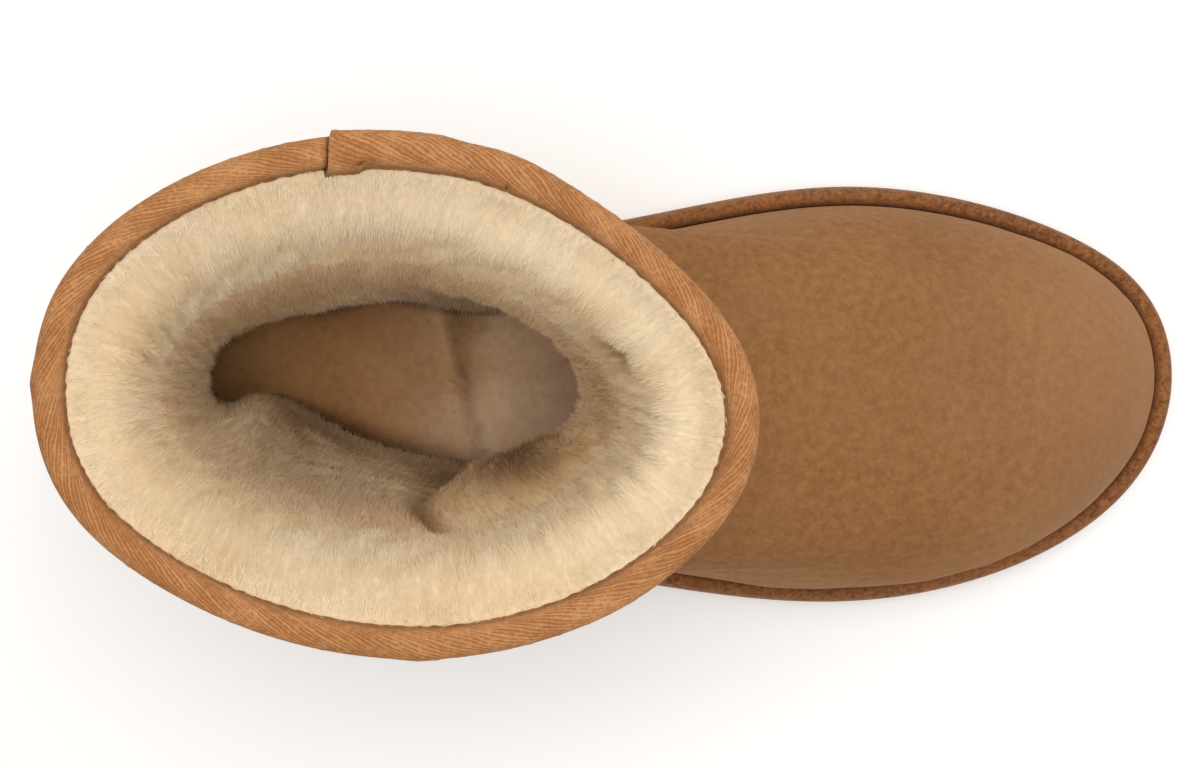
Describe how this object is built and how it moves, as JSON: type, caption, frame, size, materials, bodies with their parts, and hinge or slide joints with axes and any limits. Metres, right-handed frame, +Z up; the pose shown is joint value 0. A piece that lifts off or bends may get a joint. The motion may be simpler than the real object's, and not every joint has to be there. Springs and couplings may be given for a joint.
{
  "type": "sheepskin boot",
  "caption": "Short pull-on sheepskin boot for the right foot, with a fleece lining, a taped collar, a heel counter and a moulded foam sole.",
  "frame": {"origin": "on the floor under the middle of the boot's length and width", "axes": "+X to the toe, +Y to the big-toe side, +Z up from the floor"},
  "size_m": [0.265, 0.1082, 0.2099],
  "materials": {
    "foam": "matte moulded foam",
    "felt": "sheared wool felt",
    "suede": "brushed suede",
    "wool": "soft wool pile",
    "tape": "woven herringbone tape"
  },
  "bodies": {
    "root": {"outsole": "foam", "insole": "felt", "upper": "suede", "fleece_lining": "wool", "collar_binding": "tape", "heel_counter": "suede", "side_seam_medial": "suede", "side_seam_lateral": "suede", "vamp_seam": "suede"}
  },
  "joints": []
}
